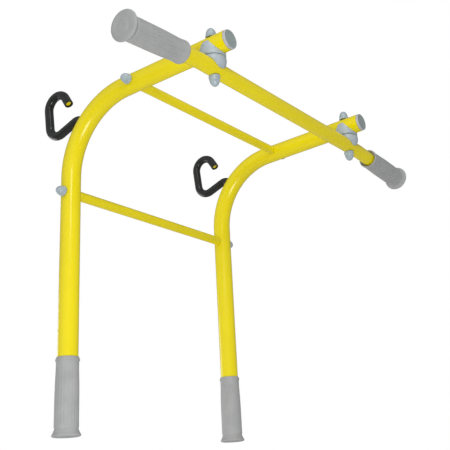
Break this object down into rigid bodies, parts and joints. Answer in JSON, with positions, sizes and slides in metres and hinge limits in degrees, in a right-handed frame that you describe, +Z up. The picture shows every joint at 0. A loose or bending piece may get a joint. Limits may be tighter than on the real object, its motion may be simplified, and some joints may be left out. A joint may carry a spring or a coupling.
{
  "type": "hang-on pull-up bar",
  "caption": "Hang-on pull-up bar for a wall ladder: bent steel side tubes with sleeved hooks and rubber-footed legs, tie rungs, and a crossbar with drooping gripped ends.",
  "frame": {"origin": "on the axis of the ladder rung that both hooks hang on, midway between the two hooks", "axes": "+X to the object's right along the crossbar, -Y the way the arms reach out from the wall ladder, +Z up"},
  "size_m": [0.8088, 0.4014, 0.5741],
  "materials": {
    "yellow_paint": "gloss",
    "grey_rubber": "matte",
    "grey_plastic": "satin",
    "plug_plastic": "matte",
    "black_sleeve": "satin",
    "zinc_steel": "satin"
  },
  "bodies": {
    "root": {"left_side_tube": "yellow_paint", "left_hook_rod": "yellow_paint", "left_hook_sleeve": "black_sleeve", "left_leg_grip": "grey_rubber", "left_arm_plug": "plug_plastic", "left_bar_grip": "grey_rubber", "left_arm_saddle": "grey_plastic", "left_bar_saddle": "grey_plastic", "left_joint_bolt": "zinc_steel", "left_joint_washer": "zinc_steel", "left_joint_cap": "grey_plastic", "left_joint_nut": "zinc_steel", "left_joint_nut_washer": "zinc_steel", "left_joint_nut_cap": "grey_plastic", "left_upper_rung_bolt": "zinc_steel", "left_upper_rung_washer": "zinc_steel", "left_upper_rung_cap": "grey_plastic", "left_upper_rung_insert": "zinc_steel", "left_lower_rung_bolt": "zinc_steel", "left_lower_rung_washer": "zinc_steel", "left_lower_rung_cap": "grey_plastic", "left_lower_rung_insert": "zinc_steel", "right_side_tube": "yellow_paint", "right_hook_rod": "yellow_paint", "right_hook_sleeve": "black_sleeve", "right_leg_grip": "grey_rubber", "right_arm_plug": "plug_plastic", "right_bar_grip": "grey_rubber", "right_arm_saddle": "grey_plastic", "right_bar_saddle": "grey_plastic", "right_joint_bolt": "zinc_steel", "right_joint_washer": "zinc_steel", "right_joint_cap": "grey_plastic", "right_joint_nut": "zinc_steel", "right_joint_nut_washer": "zinc_steel", "right_joint_nut_cap": "grey_plastic", "right_upper_rung_bolt": "zinc_steel", "right_upper_rung_washer": "zinc_steel", "right_upper_rung_cap": "grey_plastic", "right_upper_rung_insert": "zinc_steel", "right_lower_rung_bolt": "zinc_steel", "right_lower_rung_washer": "zinc_steel", "right_lower_rung_cap": "grey_plastic", "right_lower_rung_insert": "zinc_steel", "crossbar": "yellow_paint", "upper_rung": "yellow_paint", "lower_rung": "yellow_paint"}
  },
  "joints": []
}
